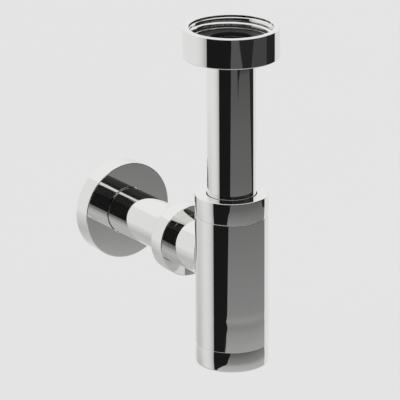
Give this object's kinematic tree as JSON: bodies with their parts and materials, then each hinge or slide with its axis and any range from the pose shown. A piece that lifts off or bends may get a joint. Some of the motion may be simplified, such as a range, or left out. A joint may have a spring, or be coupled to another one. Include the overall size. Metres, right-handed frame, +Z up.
{
  "type": "bottle trap",
  "caption": "Chrome basin bottle trap: threaded inlet union, sliding inlet tube, bottle with screwed cap and cup, side neck with union nut, wall pipe and rosette.",
  "frame": {"origin": "centre of the inlet gasket's top face, where the basin waste seats", "axes": "+Z up along the inlet tube, +Y along the wall pipe towards the wall, +X completes the right-handed frame"},
  "size_m": [0.052, 0.1426, 0.178],
  "materials": {
    "polished_chrome": "mirror polished chrome plate",
    "turned_brass": "fine turned",
    "black_rubber": "matt moulded",
    "white_nylon": "satin moulded"
  },
  "bodies": {
    "inlet": {"inlet_tube": "polished_chrome", "inlet_flange_ring": "turned_brass", "inlet_gasket": "black_rubber"},
    "union_slip_ring": {"inlet_slip_ring": "white_nylon"},
    "union_nut": {"inlet_union_nut": "polished_chrome"},
    "gland_seal": {"tube_seal": "black_rubber"},
    "bottle": {"trap_body": "polished_chrome", "top_thread_ring": "turned_brass", "bottom_thread_ring": "turned_brass", "outlet_thread_ring": "polished_chrome"},
    "cap_thrust_ring": {"tube_thrust_ring": "white_nylon"},
    "cap": {"top_cap": "polished_chrome"},
    "cup_seal": {"cup_gasket": "black_rubber"},
    "cup": {"bottom_cup": "polished_chrome"},
    "nut_thrust_ring": {"outlet_thrust_ring": "white_nylon"},
    "outlet_nut": {"outlet_union_nut": "polished_chrome"},
    "pipe_seal": {"outlet_cone_seal": "black_rubber"},
    "pipe": {"wall_pipe": "polished_chrome"},
    "rosette_grip": {"rosette_grip_ring": "black_rubber"},
    "rosette": {"wall_rosette": "polished_chrome"}
  },
  "joints": [
    {"name": "union_nut_slide", "type": "slide", "parent": "inlet", "child": "union_slip_ring", "axis": [0, 0, -1], "range_m": [0, 0.05]},
    {"name": "union_nut_turn", "type": "hinge", "parent": "union_slip_ring", "child": "union_nut", "pos_m": [0, 0, 0], "axis": [0, 0, 1], "continuous": true},
    {"name": "height_adjust", "type": "slide", "parent": "inlet", "child": "gland_seal", "axis": [0, 0, 1], "range_m": [-0.025, 0.008]},
    {"name": "bottle_swivel", "type": "hinge", "parent": "gland_seal", "child": "bottle", "pos_m": [0, 0, -0.0926], "axis": [0, 0, 1], "continuous": true},
    {"name": "cap_rise", "type": "slide", "parent": "bottle", "child": "cap_thrust_ring", "axis": [0, 0, 1], "range_m": [0, 0.0045]},
    {"name": "cap_unscrew", "type": "hinge", "parent": "cap_thrust_ring", "child": "cap", "pos_m": [0, 0, -0.0926], "axis": [0, 0, 1], "range_deg": [0, 1080]},
    {"name": "cup_drop", "type": "slide", "parent": "bottle", "child": "cup_seal", "axis": [0, 0, -1], "range_m": [0, 0.0045]},
    {"name": "cup_unscrew", "type": "hinge", "parent": "cup_seal", "child": "cup", "pos_m": [0, 0, -0.1612], "axis": [0, 0, -1], "range_deg": [0, 1080]},
    {"name": "outlet_nut_travel", "type": "slide", "parent": "bottle", "child": "nut_thrust_ring", "axis": [0, 1, 0], "range_m": [0, 0.0045]},
    {"name": "outlet_nut_unscrew", "type": "hinge", "parent": "nut_thrust_ring", "child": "outlet_nut", "pos_m": [0, 0.04065, -0.1175], "axis": [0, 1, 0], "range_deg": [0, 1080]},
    {"name": "pipe_swivel", "type": "hinge", "parent": "bottle", "child": "pipe_seal", "pos_m": [0, 0.0414, -0.1175], "axis": [0, 1, 0], "continuous": true},
    {"name": "pipe_slide", "type": "slide", "parent": "pipe_seal", "child": "pipe", "axis": [0, 1, 0], "range_m": [-0.004, 0.008]},
    {"name": "rosette_slide", "type": "slide", "parent": "pipe", "child": "rosette_grip", "axis": [0, 1, 0], "range_m": [-0.035, 0.008]},
    {"name": "rosette_turn", "type": "hinge", "parent": "rosette_grip", "child": "rosette", "pos_m": [0, 0.1, -0.1175], "axis": [0, 1, 0], "continuous": true}
  ],
  "couplings": [
    {"joint": "cap_rise", "follows": "cap_unscrew", "m_per_rad": 0.00023873},
    {"joint": "cup_drop", "follows": "cup_unscrew", "m_per_rad": 0.00023873},
    {"joint": "outlet_nut_travel", "follows": "outlet_nut_unscrew", "m_per_rad": 0.00023873}
  ]
}
